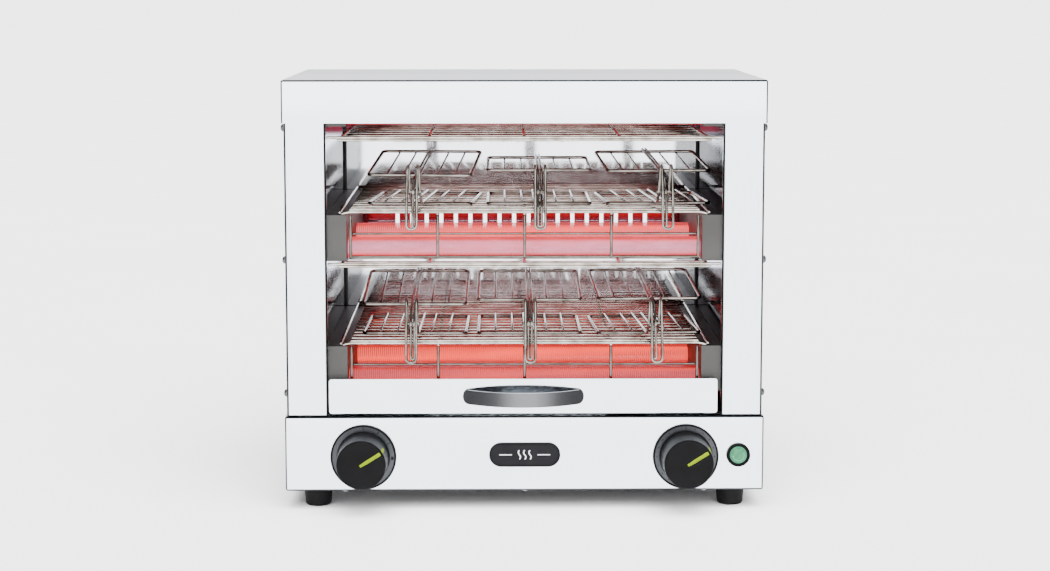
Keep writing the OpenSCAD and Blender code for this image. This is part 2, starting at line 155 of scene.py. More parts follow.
def tube(bm, path, radius, sides=12, closed=False):
    """Sweeps a round wire along a path, with domed ends where it isn't closed."""
    path = [Vector(p) for p in path]
    count = len(path)
    tangents = []
    for i in range(count):
        before = path[i] - path[i - 1] if closed or i else path[1] - path[0]
        after = path[(i + 1) % count] - path[i] if closed or i < count - 1 else before
        tangents.append((before.normalized() + after.normalized()).normalized())
    up = Vector((0, 0, 1))
    for i in range(1, count):
        turn = tangents[0].cross(tangents[i])
        if turn.length > 0.05:
            up = turn
            break
    if abs(up.normalized().dot(tangents[0])) > 0.95:
        up = Vector((1, 0, 0))
    normal = up
    stations = []
    for point, tangent in zip(path, tangents):
        normal = (normal - tangent * normal.dot(tangent)).normalized()
        stations.append((point, tangent, normal.copy(), radius))
    if not closed:
        first, last = stations[0], stations[-1]
        domes = [(math.sin(a), math.cos(a)) for a in (math.pi / 3, math.pi / 6)]
        head = [(first[0] + first[1] * radius * (1 - s), first[1], first[2], radius * c) for s, c in domes]
        tail = [(last[0] - last[1] * radius * (1 - s), last[1], last[2], radius * c) for s, c in domes[::-1]]
        first = (first[0] + first[1] * radius, first[1], first[2], radius)
        last = (last[0] - last[1] * radius, last[1], last[2], radius)
        stations = head + [first] + stations[1:-1] + [last] + tail
    rings = []
    for point, tangent, normal, size in stations:
        side = tangent.cross(normal)
        rings.append([bm.verts.new(point + (normal * math.cos(a) + side * math.sin(a)) * size)
                      for a in (2 * math.pi * k / sides for k in range(sides))])
    pairs = list(zip(rings, rings[1:]))
    if closed:
        pairs.append((rings[-1], rings[0]))
    for ring_a, ring_b in pairs:
        for k in range(sides):
            bm.faces.new((ring_a[k], ring_a[(k + 1) % sides], ring_b[(k + 1) % sides], ring_b[k]))
    if not closed:
        bm.faces.new(list(reversed(rings[0])))
        bm.faces.new(rings[-1])


LATHE_TURNS = {
    "-Y": Matrix.Rotation(math.pi / 2, 3, "X"), "+Y": Matrix.Rotation(-math.pi / 2, 3, "X"),
    "+Z": Matrix.Identity(3), "-Z": Matrix.Rotation(math.pi, 3, "X"),
    "+X": Matrix.Rotation(math.pi / 2, 3, "Y"), "-X": Matrix.Rotation(-math.pi / 2, 3, "Y"),
}


def lathe(bm, profile, origin, steps=64, facing="-Y"):
    """Revolves (radius, height) points about an axis through origin that points along facing."""
    place = LATHE_TURNS[facing]
    origin = Vector(origin)
    rings = []
    for radius, height in profile:
        if radius < 1e-7:
            rings.append([bm.verts.new(origin + place @ Vector((0, 0, height)))])
            continue
        spokes = [Vector((radius * math.cos(a), radius * math.sin(a), height))
                  for a in (2 * math.pi * k / steps for k in range(steps))]
        rings.append([bm.verts.new(origin + place @ spoke) for spoke in spokes])
    for ring_a, ring_b in zip(rings, rings[1:]):
        for k in range(steps):
            j = (k + 1) % steps
            if len(ring_a) == 1:
                bm.faces.new((ring_a[0], ring_b[j], ring_b[k]))
            elif len(ring_b) == 1:
                bm.faces.new((ring_a[k], ring_a[j], ring_b[0]))
            else:
                bm.faces.new((ring_a[k], ring_a[j], ring_b[j], ring_b[k]))


def arc_points(centre, radius, start, end, steps):
    """2D points on an arc, with angles in degrees."""
    angles = (math.radians(start + (end - start) * k / steps) for k in range(steps + 1))
    return [(centre[0] + radius * math.cos(a), centre[1] + radius * math.sin(a)) for a in angles]


def round_rect(width, height, radius, steps=8):
    """The outline of a rectangle with round corners, about its middle, counter-clockwise."""
    x, y = width / 2 - radius, height / 2 - radius
    outline = []
    for turn, corner in enumerate([(x, y), (-x, y), (-x, -y), (x, -y)]):
        outline += arc_points(corner, radius, 90 * turn, 90 * turn + 90, steps)
    return outline


def slab(bm, outline, place, thickness):
    """Extrudes a flat outline; place turns (u, v, w) into a point, with w along the thickness."""
    low = [bm.verts.new(place(u, v, 0)) for u, v in outline]
    high = [bm.verts.new(place(u, v, thickness)) for u, v in outline]
    bm.faces.new(low)
    bm.faces.new(list(reversed(high)))
    count = len(outline)
    for i in range(count):
        j = (i + 1) % count
        bm.faces.new((low[i], high[i], high[j], low[j]))


def middle_of(node):
    """The middle of a node's box."""
    low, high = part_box(node)
    return (low + high) / 2


def box_mesh(bm, low, high):
    low, high = Vector(low), Vector(high)
    place = Matrix.Translation((low + high) / 2) @ Matrix.Diagonal(high - low).to_4x4()
    bmesh.ops.create_cube(bm, size=1, matrix=place)


def cut_holes(piece, make_cutters):
    """Cuts the shapes that make_cutters adds to a bmesh out of a piece."""
    bm = bmesh.new()
    make_cutters(bm)
    bmesh.ops.recalc_face_normals(bm, faces=bm.faces)
    mesh = bpy.data.meshes.new("cutter")
    bm.to_mesh(mesh)
    bm.free()
    cutter = bpy.data.objects.new("cutter", mesh)
    bpy.context.scene.collection.objects.link(cutter)
    modifier = piece.modifiers.new("holes", "BOOLEAN")
    modifier.operation = "DIFFERENCE"
    modifier.solver = "EXACT"
    modifier.object = cutter
    apply_modifiers(piece)
    bpy.data.objects.remove(cutter)
    return piece


# ---------- material helpers ----------

class NodeTree:
    """Short ways to add nodes to a material's or the world's tree; a value may be plain or a socket."""

    def __init__(self, tree):
        self.nodes, self.links = tree.nodes, tree.links

    def feed(self, socket, value):
        if isinstance(value, bpy.types.NodeSocket):
            self.links.new(value, socket)
        else:
            socket.default_value = (*value, 1) if isinstance(value, tuple) else value

    def axes(self, coordinates):
        """The X, Y and Z of one of the Texture Coordinate node's outputs."""
        parts = self.nodes.new("ShaderNodeSeparateXYZ")
        self.feed(parts.inputs["Vector"], self.nodes.new("ShaderNodeTexCoord").outputs[coordinates])
        return parts.outputs

    def compute(self, operation, *values):
        node = self.nodes.new("ShaderNodeMath")
        node.operation = operation
        for socket, value in zip(node.inputs, values):
            self.feed(socket, value)
        return node.outputs["Value"]

    def mix(self, share, color_a, color_b, blend="MIX"):
        node = self.nodes.new("ShaderNodeMix")
        node.data_type = "RGBA"
        node.blend_type = blend
        for index, value in ((0, share), (6, color_a), (7, color_b)):
            self.feed(node.inputs[index], value)
        return node.outputs[2]

    def ramp(self, value, stops, interpolation="EASE"):
        """Colours at (place, tint) stops from 0 to 1."""
        node = self.nodes.new("ShaderNodeValToRGB")
        node.color_ramp.interpolation = interpolation
        elements = node.color_ramp.elements
        while len(elements) < len(stops):
            elements.new(0.5)
        for element, (place, tint) in zip(elements, stops):
            element.position = place
            element.color = (*tint, 1)
        self.feed(node.inputs["Fac"], value)
        return node.outputs["Color"]

    def range(self, value, low, high, start=0.3, end=0.7):
        """Maps start..end to low..high, clamped."""
        node = self.nodes.new("ShaderNodeMapRange")
        for name, number in (("From Min", start), ("From Max", end), ("To Min", low), ("To Max", high)):
            node.inputs[name].default_value = number
        self.feed(node.inputs["Value"], value)
        return node.outputs["Result"]


class Shader(NodeTree):
    """A Principled material whose inputs can be fed by procedural textures in the row frame."""

    def __init__(self, name, color, metallic=0.0, roughness=0.5):
        self.material = bpy.data.materials.new(name)
        self.material.use_nodes = True
        super().__init__(self.material.node_tree)
        self.surface = self.nodes["Principled BSDF"]
        self.place = self.nodes.new("ShaderNodeTexCoord").outputs["Object"]
        self.set(Base_Color=color, Metallic=metallic, Roughness=roughness)

    def set(self, **values):
        for key, value in values.items():
            self.feed(self.surface.inputs[key.replace("_", " ")], value)
        return self

    def noise(self, scale, stretch=(1, 1, 1), detail=3.0):
        """Noise with that many features per metre, stretched along an axis by a small factor there."""
        mapping = self.nodes.new("ShaderNodeMapping")
        mapping.inputs["Scale"].default_value = [scale * s for s in stretch]
        self.feed(mapping.inputs["Vector"], self.place)
        texture = self.nodes.new("ShaderNodeTexNoise")
        values = {"Scale": 1, "Detail": detail, "Roughness": 0.55, "Vector": mapping.outputs["Vector"]}
        for name, value in values.items():
            self.feed(texture.inputs[name], value)
        return texture.outputs["Fac"]

    def vary_roughness(self, value, low, high):
        return self.set(Roughness=self.range(value, low, high))

    def vary_color(self, value, color_a, color_b, start=0.35, end=0.65):
        return self.set(Base_Color=self.mix(self.range(value, 0, 1, start, end), color_a, color_b))

    def paint_fold_reflections(self, tint):
        """Paints into round folds, whose normals lie between the axes, the dark reflection that they would
        mirror: a painted reflection in the base colour.
        """
        x, y, z = (self.compute("ABSOLUTE", axis) for axis in self.axes("Normal"))
        largest = self.compute("MAXIMUM", self.compute("MAXIMUM", x, y), z)
        plain = self.surface.inputs["Base Color"].links[0].from_socket
        return self.set(Base_Color=self.mix(self.range(largest, 0, 1, FOLD_START, FOLD_END), tint, plain))

    def bump(self, value, strength, distance):
        node = self.nodes.new("ShaderNodeBump")
        for name, number in (("Strength", strength), ("Distance", distance), ("Height", value)):
            self.feed(node.inputs[name], number)
        return self.set(Normal=node.outputs["Normal"])


def brushed(name, color, darker, roughness, grain=(0.012, 1, 1), strength=0.12, fold=None):
    """Brushed sheet: long fine scratches along the axis where grain is small, and soft stains; with fold, a
    painted dark reflection on its round folds.
    """
    shader = Shader(name, color, metallic=1.0)
    scratches = shader.noise(1800, grain, detail=4)
    stains = shader.noise(14, detail=2)
    shader.vary_roughness(scratches, roughness - 0.05, roughness + 0.07)
    shader.vary_color(stains, darker, color)
    if fold:
        shader.paint_fold_reflections(fold)
    shader.bump(scratches, strength, 0.02 * MM)
    return shader.material


def mirror_sheet(name, color, darker):
    """Polished sheet with the slow waves of thin steel and a little haze."""
    shader = Shader(name, color, metallic=1.0)
    haze = shader.noise(35, detail=4)
    waves = shader.noise(9, detail=1)
    shader.vary_roughness(haze, 0.035, 0.1)
    shader.vary_color(haze, darker, color)
    shader.bump(waves, 0.35, 0.6 * MM)
    return shader.material


def painted_reflection_mirror(name, color, bands, inward=None):
    """Polished sheet whose colour has painted reflections in bands, (height, tint) upwards.

    Given an axis, the tint is only on the side that faces its low end; without one, it is on every
    side and holds at grazing angles too.
    """
    shader = Shader(name, color, metallic=1.0)
    shader.vary_roughness(shader.noise(35, detail=4), 0.035, 0.1)
    shader.bump(shader.noise(9, detail=1), 0.35, 0.6 * MM)
    height = shader.range(shader.axes("Object")["Z"], 0, 1, 0, cover_high.z)
    tints = shader.ramp(height, [(z / cover_high.z, tint) for z, tint in bands])
    if not inward:
        return shader.set(Base_Color=tints, Specular_Tint=tints).material
    inside = shader.range(shader.axes("Normal")[inward], 1, 0, -0.9, -0.5)
    return shader.set(Base_Color=shader.mix(inside, color, tints)).material


def sheen_painted_steel(name, color, darker):
    """Dark brushed strip with a painted highlight across its middle and painted shade towards both ends."""
    shader = Shader(name, color, metallic=1.0)
    scratches = shader.noise(1800, (0.012, 1, 1), detail=4)
    shader.vary_roughness(scratches, 0.18, 0.3)
    shader.bump(scratches, 0.12, 0.02 * MM)
    low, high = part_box("tray_handle")
    along = shader.range(shader.axes("Object")["X"], 0, 1, low.x, high.x)
    # Painted highlight across the middle, painted shade at both ends
    painted_sheen = [(0, darker), (0.28, darker), (0.42, color), (0.55, color), (0.62, color), (0.78, darker),
            (1, darker)]
    return shader.set(Base_Color=shader.ramp(along, painted_sheen, "B_SPLINE")).material


def bright_wire(name, color, tarnish):
    """Plated wire, browned in patches by heat."""
    shader = Shader(name, color, metallic=1.0)
    patches = shader.noise(60, detail=3)
    pits = shader.noise(900, detail=2)
    shader.vary_color(patches, tarnish, color, 0.38, 0.6)
    shader.vary_roughness(patches, 0.1, 0.24)
    shader.bump(pits, 0.12, 0.03 * MM)
    return shader.material


def moulded(name, color, lighter, roughness, grain_scale=1400, strength=0.25, gloss=0.5):
    """Moulded plastic or rubber with a fine spark-eroded grain; gloss is the specular level."""
    shader = Shader(name, color, roughness=roughness).set(Specular_IOR_Level=gloss)
    grain = shader.noise(grain_scale, detail=2)
    cloud = shader.noise(40, detail=2)
    shader.vary_color(cloud, color, lighter)
    shader.vary_roughness(grain, roughness - 0.06, roughness + 0.08)
    shader.bump(grain, strength, 0.04 * MM)
    return shader.material


def plain_paint(name, color, roughness=0.4, gloss=0.5):
    """Printed or painted marks, slightly uneven; gloss is the specular level."""
    shader = Shader(name, color, roughness=roughness).set(Specular_IOR_Level=gloss)
    cloud = shader.noise(500, detail=2)
    shader.vary_color(cloud, tuple(0.85 * c for c in color), color)
    shader.vary_roughness(cloud, roughness - 0.05, roughness + 0.1)
    return shader.material


def glowing_wire():
    """Hot coil wire, a little uneven in its glow."""
    shader = Shader("hot_wire", (0.9, 0.12, 0.05), metallic=0.2, roughness=0.6)
    heat = shader.noise(25, (1, 3, 3), detail=2)
    shader.set(Emission_Color=(1.0, 0.07, 0.035), Emission_Strength=shader.range(heat, 1.6, 2.4))
    return shader.material


def milky_quartz_painted_highlight(name, middle, rim, glow, alpha):
    """Frosted quartz lit from inside by its coil, red at the rim; the pale middle where one looks straight
    in is a painted highlight over the glow.
    """
    shader = Shader(name, rim, roughness=0.3)
    frost = shader.noise(220, (0.25, 1, 1), detail=3)
    shader.vary_color(frost, (0.1, 0.004, 0.004), (0.14, 0.006, 0.006))
    shader.vary_roughness(frost, 0.22, 0.36)
    facing = shader.nodes.new("ShaderNodeLayerWeight")
    facing.inputs["Blend"].default_value = 0.5
    return shader.set(
        Specular_IOR_Level=0.15,
        # The pale middle colour, on faces turned to the view, is a painted highlight
        Emission_Color=shader.mix(shader.range(facing.outputs["Facing"], 0, 1, 0.08, 0.32), middle, rim),
        Emission_Strength=shader.range(frost, glow * 0.85, glow * 1.15),
        Alpha=shader.range(frost, alpha - 0.05, alpha + 0.05),
    ).material


def tinted_lens():
    """Green lens that glows a little from its lamp."""
    shader = Shader("green_lens", (0.006, 0.07, 0.03), roughness=0.12)
    depth = shader.noise(260, detail=2)
    shader.vary_color(depth, (0.002, 0.035, 0.014), (0.01, 0.085, 0.036))
    shader.set(Specular_IOR_Level=0.12, Emission_Color=(0.16, 0.42, 0.26), Emission_Strength=0.75)
    return shader.material


def studio_floor():
    shader = Shader("studio_floor", (0.82, 0.82, 0.82), roughness=0.6)
    cloud = shader.noise(3, detail=2)
    shader.vary_color(cloud, (0.81, 0.81, 0.815), (0.83, 0.83, 0.83))
    return shader.material


def band_stops(*rows):
    """(height, millimetres above it, tint) rows as the (height, tint) stops of a mirror's painted reflection
    bands.
    """
    return [(z + above * MM, tint) for z, above, tint in rows]


# The back wall gets red bands of painted reflection where it would mirror the tubes, and the side walls dark
# bands of painted reflection above each rack
mid_tube_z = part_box("mid_guard")[0].z + 15 * MM
low_tube_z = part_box("quartz_tube_low_rear")[0].z + 10 * MM
BACK_REFLECTION_BANDS = band_stops(
    (0, 0, RED_GLOW_REFLECTION), (low_tube_z, 8, RED_GLOW_REFLECTION), (low_tube_z, 20, SILVER),
    (mid_tube_z, -19, SILVER), (mid_tube_z, -7, RED_GLOW_REFLECTION), (mid_tube_z, 8, RED_GLOW_REFLECTION),
    (mid_tube_z, 17, SILVER), (cover_low.z, -34, SILVER), (cover_low.z, -24, DIM_GLOW_REFLECTION),
)
# Dark bands of painted reflection on the side walls above each rack
WALL_REFLECTION_BANDS = [(0, WALL_BLUE)]
for rack in ("lower_rack", "upper_rack"):
    rack_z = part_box(rack)[0].z
    WALL_REFLECTION_BANDS += band_stops(
        (rack_z, -16, WALL_BLUE), (rack_z, -6, WALL_DARK_REFLECTION), (rack_z, 52, WALL_DARK_REFLECTION), (rack_z, 64, WALL_BLUE),
    )
CASING_TINTS = (0.87, 0.925, 0.985), (0.845, 0.9, 0.955)

M = {
    # The casing steels carry a painted dark reflection on their round folds
    "casing": brushed("casing_steel", *CASING_TINTS, 0.15, fold=FOLD_PAINTED_REFLECTION),
    "tray": mirror_sheet("tray_steel", *CASING_TINTS),
    "casing_side": brushed("casing_steel_upright", *CASING_TINTS, 0.15, (1, 1, 0.012),
                           fold=UPRIGHT_FOLD_PAINTED_REFLECTION),
    # The back wall and side walls: mirror steel with painted reflections in bands
    "back": painted_reflection_mirror("mirror_steel", SILVER, BACK_REFLECTION_BANDS, "Y"),
    "crease": mirror_sheet("crease_steel", (0.5, 0.46, 0.55), (0.42, 0.36, 0.45)),
    "ceiling": mirror_sheet("ceiling_steel", (0.36, 0.39, 0.45), (0.24, 0.27, 0.32)),
    "liner": painted_reflection_mirror("liner_steel", WALL_BLUE, WALL_REFLECTION_BANDS),
    # Near-black steel for the cavity floor
    "near_black": brushed("near_black_steel", (0.035, 0.036, 0.038), (0.02, 0.02, 0.022), 0.45),
    "underside": brushed("underside_steel", (0.07, 0.07, 0.072), (0.05, 0.05, 0.052), 0.5),
    "plain": brushed("plain_steel", (0.62, 0.63, 0.65), (0.55, 0.56, 0.58), 0.38),
    "grey": brushed("grey_steel", (0.068, 0.067, 0.064), (0.056, 0.055, 0.052), 0.5, (1, 1, 0.05)),
    "screw": brushed("screw_steel", (0.09, 0.093, 0.096), (0.06, 0.062, 0.065), 0.25, (1, 1, 1), 0.05),
    "handle": sheen_painted_steel("handle_steel", (0.13, 0.132, 0.136), (0.022, 0.0225, 0.024)),
    "rack": bright_wire("rack_wire", (0.5, 0.475, 0.43), (0.3, 0.26, 0.22)),
    # A darker copy of the rack's wire for the fence: painted shade, for the darker surroundings that its
    # upright rods mirror
    "fence": bright_wire("fence_wire", (0.15, 0.135, 0.12), (0.09, 0.08, 0.068)),
    "tong": bright_wire("tong_wire", (0.24, 0.23, 0.205), (0.1, 0.088, 0.075)),
    "coil": glowing_wire(),
    "ceramic": moulded("ceramic", (0.86, 0.83, 0.76), (0.78, 0.74, 0.66), 0.7, 900, 0.4),
    "knob": moulded("knob_plastic", (0.002, 0.002, 0.0022), (0.003, 0.003, 0.0033), 0.42, gloss=0.05),
    "pointer": plain_paint("pointer_lime", (0.12, 0.17, 0.0), 0.6, 0.03),
    "black": moulded("black_plastic", (0.0015, 0.0015, 0.0018), (0.0025, 0.0025, 0.003), 0.34, gloss=0.06),
    "switch": moulded("switch_plastic", (0.8, 0.78, 0.72), (0.7, 0.68, 0.62), 0.5),
    "dial": brushed("dial_metal", (0.06, 0.062, 0.067), (0.046, 0.048, 0.052), 0.3, (1, 1, 1), 0.05),
    "ink": plain_paint("dial_ink", (0.006, 0.006, 0.007), 0.5, 0.05),
    "badge": moulded("badge", (0.006, 0.006, 0.007), (0.008, 0.008, 0.009), 0.35, 800, 0.08, 0.05),
    "white_ink": plain_paint("badge_ink", (0.75, 0.76, 0.77), 0.4),
    "lens": tinted_lens(),
    # A bright green crescent inside the lens: a painted highlight
    "lens_highlight": plain_paint("lens_highlight_green", (0.08, 0.34, 0.18), 0.3, 0.1),
    "rubber": moulded("foot_rubber", (0.002, 0.002, 0.0022), (0.004, 0.004, 0.0042), 0.62, 700, 0.4, 0.1),
}
# One copy per tube, each with its own middle, rim, glow and alpha: painted highlight and painted shade for
# how bright each tube looks
for tube_look, values in {
    "quartz_top": ((0.45, 0.03, 0.045), (0.3, 0.015, 0.02), 0.8, 0.8),
    "quartz_mid_front": ((0.95, 0.5, 0.74), (1.0, 0.1, 0.12), 0.95, 0.85),
    "quartz_mid_rear": ((0.95, 0.24, 0.3), (1.0, 0.09, 0.1), 1.0, 0.55),
    "quartz_low_front": ((0.6, 0.19, 0.27), (0.62, 0.035, 0.045), 0.48, 0.75),
    "quartz_low_rear": ((1.0, 0.13, 0.11), (1.0, 0.055, 0.045), 0.92, 0.55),
}.items():
    M[tube_look] = milky_quartz_painted_highlight(tube_look, *values)


# ---------- casing ----------

UP, DOWN = Vector((0, 0, 1)), Vector((0, 0, -1))


def shell(node, open_faces, cut_rim=False):
    """A folded box of sheet steel with round folds, open on the given sides; a cut rim isn't folded in."""

    def is_open(face):
        return any(face.normal.dot(side) > 0.99 for side in open_faces)

    bm = bmesh.new()
    box_mesh(bm, *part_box(node))
    folds = [edge for edge in bm.edges if not (cut_rim and any(is_open(face) for face in edge.link_faces))]
    bmesh.ops.bevel(bm, geom=folds, offset=2 * MM, offset_type="OFFSET", segments=4,
                    profile=0.5, affect="EDGES")
    bm.normal_update()
    smallest_side = 1e-3
    for face in list(bm.faces):
        if face.calc_area() > smallest_side and is_open(face):
            bm.faces.remove(face)
    piece = finish_mesh(node + "_shell", bm, "casing", node, 60)
    return thickened(piece, SHEET * 0.95)


def make_base_housing():
    """The base shell, with vents and the cable's hole behind and holes for the shafts and lamp in front."""
    piece = shell("base_housing", (UP, DOWN))
    gland = middle_of("cable_gland")
    slot_h, slot_w, pitch = 24 * MM, 4 * MM, 14 * MM
    slot = round_rect(slot_w, slot_h, slot_w / 2 - 0.1 * MM, 5)
    deep = 4 * MM
    holes = (("cable_gland", BACK_Y, 8 * MM), ("pilot_bezel", FRONT_Y, 6.3 * MM),
             ("selector_shaft", FRONT_Y, 5 * MM), ("timer_shaft", FRONT_Y, 5 * MM))

    def cutters(bm):
        for i in range(-4, 5):
            def place(u, v, w, x=i * pitch):
                return Vector((x + u, BACK_Y - deep + w, gland.z + v))

            slab(bm, slot, place, 2 * deep)
        for node, y, radius in holes:
            middle = middle_of(node)
            z = gland.z if node == "pilot_bezel" else middle.z
            lathe(bm, [(0, -deep), (radius, -deep), (radius, deep), (0, deep)], (middle.x, y, z), 32, "+Y")

    cut_holes(piece, cutters)
    piece.data.set_sharp_from_angle(angle=math.radians(40))


def make_top_cover():
    """The hood, whose lower rim is cut straight."""
    shell("top_cover", (DOWN,), cut_rim=True)


def folded_sheet(bm, outline, z0, z1):
    """A sheet folded along upright lines; outline is its plan, one side of the metal."""
    path = fillet([(x, y, 0) for x, y in outline], 2.4 * MM, 5)
    low = [bm.verts.new((p.x, p.y, z0)) for p in path]
    high = [bm.verts.new((p.x, p.y, z1)) for p in path]
    for i in range(len(path) - 1):
        bm.faces.new((low[i], low[i + 1], high[i + 1], high[i]))


def make_side_panel(side):
    """The column, the outer side and the back flange are one folded sheet; side is -1 or 1."""
    node = "left_side_panel" if side < 0 else "right_side_panel"
    low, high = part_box(node)
    chamfer, lip, back_flange = 1.8 * MM, 5.5 * MM, 14 * MM
    outline = [(-OPENING_X, low.y + lip), (-OPENING_X, low.y), (-PANEL_X + chamfer, low.y),
               (-PANEL_X, low.y + chamfer), (-PANEL_X, high.y), (-PANEL_X + back_flange, high.y)]
    bm = bmesh.new()
    folded_sheet(bm, outline, low.z, high.z)
    bmesh.ops.scale(bm, vec=(-side, 1, 1), verts=bm.verts)
    thickened(finish_mesh(node + "_sheet", bm, "casing_side", node, 60), SHEET * 0.95)


def pan_head(head_r, rim_h, head_h, steps):
    """Points from a pan head's rim to near its top."""
    angles = (math.pi / 2 * k / steps for k in range(1, steps))
    dome = [(head_r * math.cos(a), rim_h + (head_h - rim_h) * math.sin(a)) for a in angles]
    return [(head_r, rim_h)] + dome


def make_screws():
    """Pan heads with a cross recess on both sides of the casing."""
    head_r, shank_r, shank_end = 3.5 * MM, 2 * MM, -3 * MM
    screws_low, screws_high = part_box("panel_screws")
    head_h = screws_high.x - PANEL_X - 0.02 * MM
    recess = head_h - 1.1 * MM
    places = [(side, y, z) for side in (-1, 1)
              for y in (screws_low.y + head_r, screws_high.y - head_r)
              for z in (floor_z + 21 * MM, floor_z + 147 * MM, cover_low.z - 4.5 * MM)]
    profile = [(0, shank_end), (shank_r, shank_end), (shank_r, 0), (head_r, 0)]
    profile += pan_head(head_r, 1 * MM, head_h, 6)
    profile += [(0.9 * MM, head_h), (0.75 * MM, head_h - 1 * MM), (0, recess)]
    bm = bmesh.new()
    for side, y, z in places:
        lathe(bm, profile, (side * PANEL_X, y, z), 28, "-X" if side < 0 else "+X")
    piece = finish_mesh("panel_screw_heads", bm, "screw", "panel_screws", 40)

    arm, half = 2 * MM, 0.4 * MM
    cross = [(arm, -half), (arm, half), (half, half), (half, arm), (-half, arm), (-half, half),
             (-arm, half), (-arm, -half), (-half, -half), (-half, -arm), (half, -arm), (half, -half)]

    def crosses(bm):
        for side, y, z in places:
            def place(u, v, w, side=side, y=y, z=z):
                return Vector((side * (PANEL_X + recess + w), y + u, z + v))

            slab(bm, cross, place, 2 * MM)

    cut_holes(piece, crosses)


def make_base_screws():
    """Three small heads under the front of the base plate."""
    bm = bmesh.new()
    head_r, head_h = 2.6 * MM, 1.5 * MM
    profile = [(0, 0), (head_r, 0)] + pan_head(head_r, 0.4 * MM, head_h, 5) + [(0, head_h)]
    for x in (-169 * MM, 0, 169 * MM):
        lathe(bm, profile, (x, FRONT_Y + 5 * MM, base_low.z), 24, "-Z")
    finish_mesh("base_screw_heads", bm, "plain", sharp=40)


def make_badge():
    """A blank dark pill in a black rim, with three small heat waves as a generic mark."""
    low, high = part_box("badge_plate")
    middle = (low + high) / 2
    width, height = high.x - low.x, high.z - low.z

    def place(u, v, w):
        return Vector((middle.x + u, high.y - w, middle.z + v))

    def pill(bm, inset, flat, depth, thickness):
        """A pill smaller than the badge by inset all round; depth is counted from the casing."""
        outline = round_rect(width - 2 * inset, height - 2 * inset, height / 2 - inset - flat, 14)
        slab(bm, outline, lambda u, v, w: place(u, v, depth + w), thickness)

    bm = bmesh.new()
    pill(bm, 0, 0.01 * MM, 0, high.y - low.y)
    rim = finish_mesh("badge_rim", bm, "black", "badge_plate", 40)
    cut_holes(rim, lambda bm: pill(bm, 1.5 * MM, 0.1 * MM, 1.2 * MM, 3 * MM))
    bevelled(rim, 0.35 * MM)
    bm = bmesh.new()
    pill(bm, 1.65 * MM, 0.1 * MM, 1.15 * MM, 0.3 * MM)
    finish_mesh("badge_face", bm, "badge", sharp=40)
    bm = bmesh.new()
    ink_depth, wave_step = 1.5 * MM, 1.1 * MM
    for i in (-1, 0, 1):
        wave = [place(i * 5 * MM + wave_step * math.sin(t * math.pi / 4), (t - 4) * wave_step, ink_depth)
                for t in range(9)]
        tube(bm, wave, 0.5 * MM, 8)
    for sign in (-1, 1):
        tube(bm, [place(sign * x, 0, ink_depth) for x in (12 * MM, 24 * MM)], 0.35 * MM, 8)
    finish_mesh("badge_mark", bm, "white_ink")


def make_feet():
    """Four rubber feet, wider at the top, with a round lower edge."""
    low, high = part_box("feet")
    radius, height = 14 * MM, high.z
    profile = [(0, 0), (9.6 * MM, 0), (10.9 * MM, 0.4 * MM), (11.8 * MM, 1.4 * MM), (12.3 * MM, 3 * MM),
               (13.3 * MM, height - 4 * MM), (13.9 * MM, height - 1.6 * MM),
               (13.9 * MM, height - 0.02 * MM), (0, height - 0.02 * MM)]
    bm = bmesh.new()
    for x in (low.x + radius, high.x - radius):
        for y in (low.y + radius, high.y - radius):
            lathe(bm, profile, (x, y, 0), 40, "+Z")
    finish_mesh("rubber_feet", bm, "rubber", "feet", 50)


# ---------- heating ----------

TIERS = "top", "mid", "low"
TUBES = [f"quartz_tube_{tier}_{row}" for tier in TIERS for row in ("front", "rear")]


def make_quartz_tubes():
    """Frosted tubes with rounded ends; both of the top tier look the same."""
    for node in TUBES:
        low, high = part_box(node)
        middle = (low + high) / 2
        outer = (high.z - low.z) / 2 - 0.05 * MM
        inner = outer - 1.4 * MM
        end = [(inner, 0.3 * MM), (inner + 0.4 * MM, 0), (outer - 0.5 * MM, 0), (outer - 0.1 * MM, 0.3 * MM),
               (outer, 0.9 * MM)]
        profile = end + [(radius, high.x - low.x - x) for radius, x in reversed(end)]
        bm = bmesh.new()
        lathe(bm, profile, (low.x, middle.y, middle.z), 48, "+X")
        look = "quartz_top" if "_top_" in node else node.replace("_tube", "")
        finish_mesh(node + "_glass", bm, look, node, 50)


def make_heating_coils():
    """Inside each tube a coil wound turn by turn, a little short of its ends."""
    pitch, steps, wire_r, end_gap = 2 * MM, 12, 0.5 * MM, 3 * MM
    coil_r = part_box("heating_coils")[1].z - middle_of("quartz_tube_top_rear").z - 0.6 * MM
    bm = bmesh.new()
    for node in TUBES:
        low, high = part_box(node)
        middle = (low + high) / 2
        path = []
        for k in range(int((high.x - low.x - 2 * end_gap) / pitch) * steps):
            a = 2 * math.pi * k / steps
            path.append((low.x + end_gap + pitch * k / steps, middle.y + coil_r * math.cos(a),
                         middle.z + coil_r * math.sin(a)))
        tube(bm, path, wire_r, 5)
    finish_mesh("heating_coil_wires", bm, "coil", "heating_coils", 70)


def make_back_crease():
    """A rolled crease in the back wall behind the middle tier, broken by the air slots."""
    front_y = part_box("back_panel")[0].y
    pitch, slots, slot_w, end_gap = 15.35 * MM, 18, 4 * MM, 4 * MM
    z = mid_tube_z + 0.6 * MM
    slot_x = [(i - (slots - 1) / 2) * pitch for i in range(slots)]
    gaps = [(x0 + slot_w / 2, x1 - slot_w / 2) for x0, x1 in zip(slot_x, slot_x[1:])]
    ends = [(-COVER_X + end_gap, gaps[0][0] - slot_w), (gaps[-1][1] + slot_w, COVER_X - end_gap)]
    bm = bmesh.new()
    for x0, x1 in gaps + ends:
        tube(bm, [(x0, front_y, z), (x1, front_y, z)], 1.1 * MM)
    finish_mesh("back_wall_crease", bm, "crease", sharp=60)


